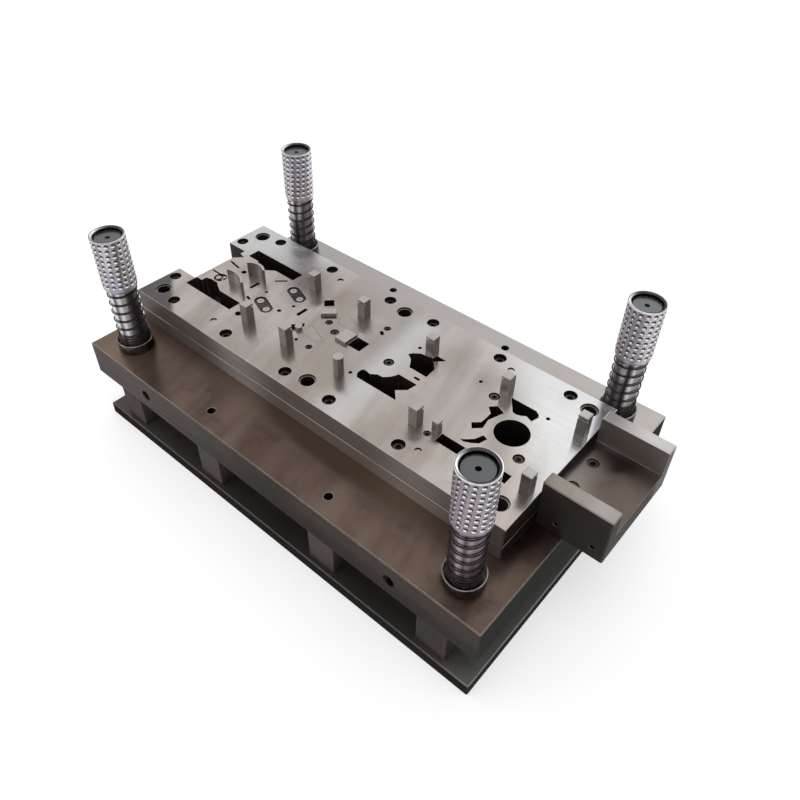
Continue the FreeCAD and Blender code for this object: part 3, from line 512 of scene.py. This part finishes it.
def ring_metal(name):
    """The inner shoulder of a snap ring, painted dark as shade, with a painted highlight crescent on the side
    away from the window.
    """
    s = Shader(name)
    body = s.mix(s.heading(40, 75), colour(66, 62, 65), colour(244, 242, 244))
    return s.finish(Base_Color=body, Metallic=0.8, Roughness=0.2)


def pocket_metal(name):
    """The countersunk walls of the ball pockets: a painted highlight where they look up, painted shade
    elsewhere.
    """
    s = Shader(name)
    body = s.mix(s.facing((0.25, 0.2, 0.95), 0.22, 0.46), colour(52, 46, 51), colour(250, 249, 250))
    return s.finish(Base_Color=body, Metallic=1.0, Roughness=0.28)


def ball_metal(name):
    """Polished steel with painted reflections, by how far its surface looks up: a painted highlight below its
    middle and painted shade on top.
    """
    s = Shader(name)
    looks_up = s.normal_parts()["Z"]
    body = colour(104, 97, 103)
    for low, high, shade in ((-0.6, -0.3, (250, 248, 250)), (-0.3, -0.02, (176, 170, 176)),
                             (-0.02, 0.3, (58, 53, 57))):
        body = s.mix(s.spread(looks_up, low, high), body, colour(*shade))
    return s.finish(Base_Color=body, Metallic=1.0, Roughness=0.14)


def make_materials():
    """One material for each material slot of the record, and those of the finer pieces."""
    return {
        "ground_steel": die_plate_steel(),
        "backing_steel": backing_plate_steel(),
        "shoe_steel": shoe_steel(),
        "channel_steel": channel_steel(),
        "dark_steel": base_steel(),
        "hardened_steel": tool_steel("hardened_steel", colour(158, 152, 147), colour(104, 97, 93),
                                     colour(182, 177, 173)),
        "bush_steel": tool_steel("bush_steel", colour(62, 54, 50), colour(54, 47, 43), colour(128, 122, 117)),
        "dark_tool_steel": plain_metal("dark_tool_steel", colour(78, 72, 70), colour(52, 47, 46), 0.3,
                                       edge=colour(128, 122, 119), edge_r=0.0003),
        "black_oxide": plain_metal("black_oxide", colour(88, 82, 79), colour(56, 51, 49), 0.34,
                                   edge=colour(150, 146, 142)),
        "post_chrome": post_chrome("post_chrome"),
        "cage_metal": cage_metal("cage_metal"),
        "spring_steel": wire_metal("spring_steel"),
        "flange_steel": plain_metal("flange_steel", colour(84, 79, 79), colour(58, 53, 54), 0.26),
        # The flange's chamfer, painted bright as a highlight
        "flange_rim": plain_metal("flange_rim", colour(158, 154, 153), colour(118, 113, 112), 0.24, 0.8),
        "ball_steel": ball_metal("ball_steel"),
        "pocket_walls": pocket_metal("pocket_walls"),
        "snap_ring": ring_metal("snap_ring"),
        # The snap ring's outer face and crest, painted bright as a highlight
        "snap_ring_rim": plain_metal("snap_ring_rim", colour(236, 234, 236), colour(196, 192, 196), 0.22,
                                     0.5),
    }


def dress_frame(materials):
    """Give every CAD node its material."""
    slots = {part["node"]: part["material_slot"] for part in frame["record"]["subparts"]}
    slots["exit_channel_block"] = "channel_steel"
    slots["stripper_guide_bushes"] = "bush_steel"
    for node in ("form_insert_back", "form_insert_front"):
        slots[node] = "ground_steel"
    for node, obj in frame["nodes"].items():
        obj.data.materials.clear()
        obj.data.materials.append(materials[slots[node]])


def new_piece(name, mesh, shades, slot, body, *replaced):
    """Link a mesh with its materials as a piece that rides on a body."""
    obj = bpy.data.objects.new(name, mesh)
    bpy.context.scene.collection.objects.link(obj)
    for shade in shades:
        mesh.materials.append(shade)
    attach(obj, body)
    if replaced:
        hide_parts(*replaced)
    return obj


def lathe(bm, profile, steps, index=0):
    """Turn a strip of (radius, height) points about the Z axis, in millimetres; index is its material's."""
    rings = []
    for i in range(steps):
        a = 2 * math.pi * i / steps
        rings.append([bm.verts.new(Vector((r * math.cos(a), r * math.sin(a), z)) * MM) for r, z in profile])
    for i in range(steps):
        here, there = rings[i], rings[(i + 1) % steps]
        for k in range(len(profile) - 1):
            bm.faces.new((here[k], there[k], there[k + 1], here[k + 1])).material_index = index


def closed_mesh(bm, name):
    """Join the strips of a turned form and shade it smooth, with its edges kept."""
    bmesh.ops.remove_doubles(bm, verts=bm.verts, dist=WELD_M)
    mesh = smooth_mesh(bm, name)
    mesh.set_sharp_from_angle(angle=math.radians(SHARP_DEGREES))
    return mesh


def smooth_mesh(bm, name):
    bmesh.ops.recalc_face_normals(bm, faces=bm.faces)
    mesh = bpy.data.meshes.new(name)
    bm.to_mesh(mesh)
    bm.free()
    mesh.shade_smooth()
    return mesh


def sleeve_point(column, row, across, down, r, first_row):
    """A point of the cage's skin: across and down are counted in ball pitches from a ball's centre."""
    turn = 2 * math.pi / BALL_COLUMNS * (column + across) + math.radians(BALL_TWIST) * (row + down)
    return Vector((r * math.cos(turn), r * math.sin(turn), first_row - BALL_PITCH * (row + down))) * MM


def cage_cell(bm, column, row, first_row):
    """One ball's field of the skin: a flat border, a small raised lip and the countersunk pocket."""
    half_turns = CELL_POINTS // 4
    pitch_across = 2 * math.pi * CAGE_R / BALL_COLUMNS
    border = []
    for k in range(CELL_POINTS):
        side, part = divmod(k, half_turns)
        t = part / half_turns - 0.5
        border.append([(0.5, t), (-t, 0.5), (-0.5, -t), (t, -0.5)][side])
    rings = [[bm.verts.new(sleeve_point(column, row, u, v, CAGE_R, first_row)) for u, v in border]]
    for radius, rise in POCKET_LEVELS:
        ring = []
        for k in range(CELL_POINTS):
            a = 2 * math.pi * k / CELL_POINTS - math.pi / 4
            u = radius * math.cos(a) / pitch_across
            v = radius * math.sin(a) / BALL_PITCH
            ring.append(bm.verts.new(sleeve_point(column, row, u, v, CAGE_R + rise, first_row)))
        rings.append(ring)
    for level, (outer, inner) in enumerate(zip(rings, rings[1:])):
        index = SKIN if level < LIP_LEVELS else POCKET
        for k in range(CELL_POINTS):
            j = (k + 1) % CELL_POINTS
            bm.faces.new((outer[k], inner[k], inner[j], outer[j])).material_index = index


def snap_ring(bm, rim, inner):
    """The snap ring at a cage's rim: an outer face and crest painted bright as a highlight, and a soft
    shoulder inside painted dark as shade.
    """
    outer = CAGE_R + RING_OUT
    low = rim - RING_H
    foot, crest = (outer - RING_FOOT_IN, low), (outer - RING_CREST_IN, rim)
    face = [foot, (outer, low + RING_FOOT_IN), (outer, rim - RING_FACE_DEPTH),
            (outer - RING_ROUND, rim - RING_ROUND), crest]
    shoulder = [crest] + [(CAGE_BORE_R + out, rim - depth) for out, depth in BORE_SHOULDER]
    lathe(bm, [(inner, low), foot], CAGE_STEPS, RING_SHOULDER)
    lathe(bm, face, CAGE_STEPS, RING_RIM)
    lathe(bm, shoulder, CAGE_STEPS, RING_SHOULDER)


def cage_mesh(low, rim):
    """The sleeve of a ball cage about the Z axis, between two heights in millimetres."""
    bm = bmesh.new()
    first_row = rim - CAGE_FIRST_ROW
    for column in range(BALL_COLUMNS):
        for row in range(BALL_ROWS):
            cage_cell(bm, column, row, first_row)
    top_of_cells = first_row + BALL_PITCH / 2
    foot_of_cells = first_row - BALL_PITCH * (BALL_ROWS - 0.5)
    ring_low = rim - RING_H
    groove = max(ring_low - GROOVE_BELOW_RING, top_of_cells)
    inner = CAGE_R - GROOVE_IN
    bore_top = rim - BORE_SHOULDER[-1][1]
    lathe(bm, [(CAGE_R, top_of_cells), (CAGE_R, groove), (CAGE_R - GROOVE_ROUND, groove + GROOVE_ROUND),
               (inner, groove + GROOVE_ROUND), (inner, ring_low)], CAGE_STEPS)
    snap_ring(bm, rim, inner)
    lathe(bm, [(CAGE_BORE_R, bore_top), (CAGE_BORE_R, first_row)], CAGE_STEPS, POCKET)
    lathe(bm, [(CAGE_BORE_R, first_row), (CAGE_BORE_R, low + CAGE_BORE_CHAMFER),
               (CAGE_BORE_R + CAGE_BORE_CHAMFER, low), (CAGE_R - CAGE_TAPER, low),
               (CAGE_R - CAGE_TAPER_ROUND, low + 1.6 * CAGE_TAPER), (CAGE_R, low + 2 * CAGE_TAPER),
               (CAGE_R, foot_of_cells)], CAGE_STEPS)
    return closed_mesh(bm, "cage_sleeve")


def balls_mesh(rim):
    """All the balls of one cage."""
    bm = bmesh.new()
    first_row = rim - CAGE_FIRST_ROW
    for column in range(BALL_COLUMNS):
        for row in range(BALL_ROWS):
            place = Matrix.Translation(sleeve_point(column, row, 0, 0, POST_R + BALL_R, first_row))
            bmesh.ops.create_icosphere(bm, subdivisions=2, radius=BALL_R * MM * BALL_FIT, matrix=place)
    return smooth_mesh(bm, "cage_balls")


def coil_mesh(stages, mean_r, wire):
    """A round-wire coil about the Z axis: stages are (turns, height where they end), in millimetres."""
    centres = []
    turned_by = 0.0
    for (_, low), (turns, high) in zip(stages, stages[1:]):
        count = max(2, int(turns * SPRING_STEPS))
        for i in range(count):
            t = i / count
            centres.append((2 * math.pi * (turned_by + turns * t), low + (high - low) * t))
        turned_by += turns
    centres.append((2 * math.pi * turned_by, stages[-1][1]))
    bm = bmesh.new()
    rings = []
    for angle, z in centres:
        ring = []
        for k in range(SPRING_SIDES):
            phi = 2 * math.pi * k / SPRING_SIDES
            reach = mean_r + wire / 2 * math.cos(phi)
            height = z + wire / 2 * math.sin(phi)
            ring.append(bm.verts.new(Vector((reach * math.cos(angle), reach * math.sin(angle), height)) * MM))
        rings.append(ring)
    for here, there in zip(rings, rings[1:]):
        for k in range(SPRING_SIDES):
            j = (k + 1) % SPRING_SIDES
            bm.faces.new((here[k], there[k], there[j], here[j]))
    bm.faces.new(rings[0])
    bm.faces.new(rings[-1])
    return smooth_mesh(bm, "cage_coil")


def flange_mesh(axes, low, high):
    """The seat rings at the posts' feet, with a chamfer painted bright as a highlight, between two heights in
    millimetres.
    """
    bm = bmesh.new()
    bore = POST_R + FLANGE_BORE_GAP
    shoulder = high - FLANGE_CHAMFER
    seat = high - FLANGE_SEAT_D
    crest = (FLANGE_R - FLANGE_CHAMFER, high)
    outside = [(bore, low), (FLANGE_R - FLANGE_FOOT_CHAMFER, low), (FLANGE_R, low + FLANGE_FOOT_CHAMFER),
               (FLANGE_R, shoulder)]
    chamfer = [(FLANGE_R, shoulder), (FLANGE_R - FLANGE_ROUND, high - FLANGE_ROUND), crest]
    inside = [crest, (FLANGE_SEAT_R, high), (FLANGE_SEAT_R, seat), (bore, seat), (bore, low)]
    for axis in axes:
        start = len(bm.verts)
        for profile, index in ((outside, 0), (chamfer, 1), (inside, 0)):
            lathe(bm, profile, FLANGE_STEPS, index)
        bm.verts.ensure_lookup_table()
        bmesh.ops.transform(bm, matrix=axis, verts=bm.verts[start:])
    return closed_mesh(bm, "post_flanges_round")


def post_axis(corner):
    """Where a post stands, from the middle of its cage."""
    lo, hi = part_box("ball_cage_" + corner)
    return Matrix.Translation(((lo.x + hi.x) / 2, (lo.y + hi.y) / 2, 0))


def heights(node):
    """The lowest and highest points of a CAD node, in millimetres."""
    return [point.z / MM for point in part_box(node)]


def dress_flanges(materials):
    """The ring at each post's foot."""
    low, high = heights("post_flanges")
    rings = flange_mesh([post_axis(corner) for corner in CORNERS], low, high)
    shades = [materials["flange_steel"], materials["flange_rim"]]
    new_piece("post_flange_rings", rings, shades, "dark_tool_steel", ROOT_BODY, "post_flanges")


def dress_cage(corner, materials):
    """A sleeve with real pockets, and its balls."""
    node, body = "ball_cage_" + corner, "cage_" + corner
    low, rim = heights(node)
    turned = post_axis(corner) @ Matrix.Rotation(math.radians(CAGE_TURNS[corner]), 4, "Z")
    sleeve, balls = cage_mesh(low, rim), balls_mesh(rim)
    sleeve.transform(turned)
    balls.transform(turned)
    shades = [materials[name] for name in ("cage_metal", "pocket_walls", "snap_ring", "snap_ring_rim")]
    new_piece("cage_sleeve_" + corner, sleeve, shades, "cage_metal", body, node)
    new_piece("cage_balls_" + corner, balls, [materials["ball_steel"]], "cage_metal", body)


def dress_spring(corner, materials):
    """A round-wire spring round the post, with a mesh of its own."""
    node = "cage_spring_" + corner
    seat, top = heights(node)
    start, end = seat + SPRING_WIRE / 2, top - SPRING_WIRE / 2
    close_end = start + SPRING_CLOSE_TURNS * SPRING_CLOSE_PITCH
    open_end = close_end + SPRING_TURNS * SPRING_PITCH
    stages = [(0, start), (SPRING_CLOSE_TURNS, close_end), (SPRING_TURNS, open_end), (SPRING_END_TURNS, end)]
    coil = coil_mesh(stages, SPRING_MEAN_R, SPRING_WIRE * SPRING_FIT)
    coil.transform(post_axis(corner))
    spring = new_piece("round_spring_" + corner, coil, [materials["spring_steel"]], "spring_steel",
                       ROOT_BODY, node)
    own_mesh(spring)


def dress_posts(materials):
    for corner in CORNERS:
        dress_cage(corner, materials)
        dress_spring(corner, materials)


def make_floor():
    """A plain white floor that keeps the object's shadow."""
    mesh = bpy.data.meshes.new("floor")
    corners = [(-1, -1, 0), (1, -1, 0), (1, 1, 0), (-1, 1, 0)]
    mesh.from_pydata([Vector(corner) * FLOOR_REACH for corner in corners], [], [(0, 1, 2, 3)])
    floor = bpy.data.objects.new("floor", mesh)
    bpy.context.scene.collection.objects.link(floor)
    floor.location.z = FLOOR_Z
    s = Shader("floor_white")
    base = s.node("ShaderNodeBsdfDiffuse")
    base.inputs["Color"].default_value = (FLOOR_WHITE, FLOOR_WHITE, FLOOR_WHITE, 1)
    glow = s.node("ShaderNodeEmission")
    glow.inputs["Strength"].default_value = FLOOR_GLOW
    both = s.node("ShaderNodeAddShader")
    s.put(base.outputs["BSDF"], both.inputs[0])
    s.put(glow.outputs["Emission"], both.inputs[1])
    chosen = s.node("ShaderNodeMixShader")
    s.put(s.seen_by("Is Camera Ray", "Is Glossy Ray"), chosen.inputs["Fac"])
    s.put(base.outputs["BSDF"], chosen.inputs[1])
    s.put(both.outputs["Shader"], chosen.inputs[2])
    s.close("ShaderNodeOutputMaterial", chosen.outputs["Shader"])
    mesh.materials.append(s.material)


def make_world():
    """A white world that lights the object more weakly than it shows."""
    world = bpy.data.worlds.new("studio")
    world.use_nodes = True
    bpy.context.scene.world = world
    tree = NodeTree(world.node_tree)
    strength = tree.node("ShaderNodeMapRange")
    tree.put(tree.seen_by("Is Camera Ray", "Is Glossy Ray", "Is Transmission Ray"), strength.inputs["Value"])
    strength.inputs["To Min"].default_value = WORLD_LIGHT
    strength.inputs["To Max"].default_value = WORLD_SEEN
    background = tree.node("ShaderNodeBackground")
    background.inputs["Color"].default_value = (1, 1, 1, 1)
    tree.put(strength.outputs["Result"], background.inputs["Strength"])
    tree.close("ShaderNodeOutputWorld", background.outputs["Background"])


def make_lamps():
    """Soft studio light: a broad lamp behind, to shine in the plate, and others above and at the left."""
    for name, place, target, size, power in LAMPS:
        data = bpy.data.lights.new(name, "AREA")
        data.shape = "DISK"
        data.size = size
        data.energy = power
        lamp = bpy.data.objects.new(name, data)
        lamp.location = place
        lamp.rotation_mode = "QUATERNION"
        lamp.rotation_quaternion = (Vector(target) - Vector(place)).to_track_quat("-Z", "Y")
        bpy.context.scene.collection.objects.link(lamp)


def make_camera():
    """The photograph's camera."""
    az, el, roll = (math.radians(a) for a in (CAMERA_AZIMUTH, CAMERA_ELEVATION, CAMERA_ROLL))
    forward = Vector((-math.sin(az) * math.cos(el), math.cos(az) * math.cos(el), -math.sin(el)))
    level = Vector((math.cos(az), math.sin(az), 0))
    down = forward.cross(level)
    right = math.cos(roll) * level + math.sin(roll) * down
    down = math.cos(roll) * down - math.sin(roll) * level
    data = bpy.data.cameras.new("camera")
    data.sensor_width = SENSOR_MM
    data.lens = CAMERA_LENS_PX / PICTURE_PX * SENSOR_MM
    data.shift_x = (PICTURE_PX / 2 - CAMERA_CENTRE_PX[0]) / PICTURE_PX
    data.shift_y = (CAMERA_CENTRE_PX[1] - PICTURE_PX / 2) / PICTURE_PX
    data.clip_start, data.clip_end = CLIP_START, CLIP_END
    camera = bpy.data.objects.new("camera", data)
    bpy.context.scene.collection.objects.link(camera)
    turn = Matrix((right, -down, -forward)).transposed().to_4x4()
    camera.matrix_world = Matrix.Translation(CAMERA_PLACE) @ turn
    bpy.context.scene.camera = camera


bpy.context.scene.view_settings.view_transform = "Standard"
materials = make_materials()
dress_frame(materials)
dress_flanges(materials)
dress_posts(materials)
make_floor()
make_world()
make_lamps()
make_camera()
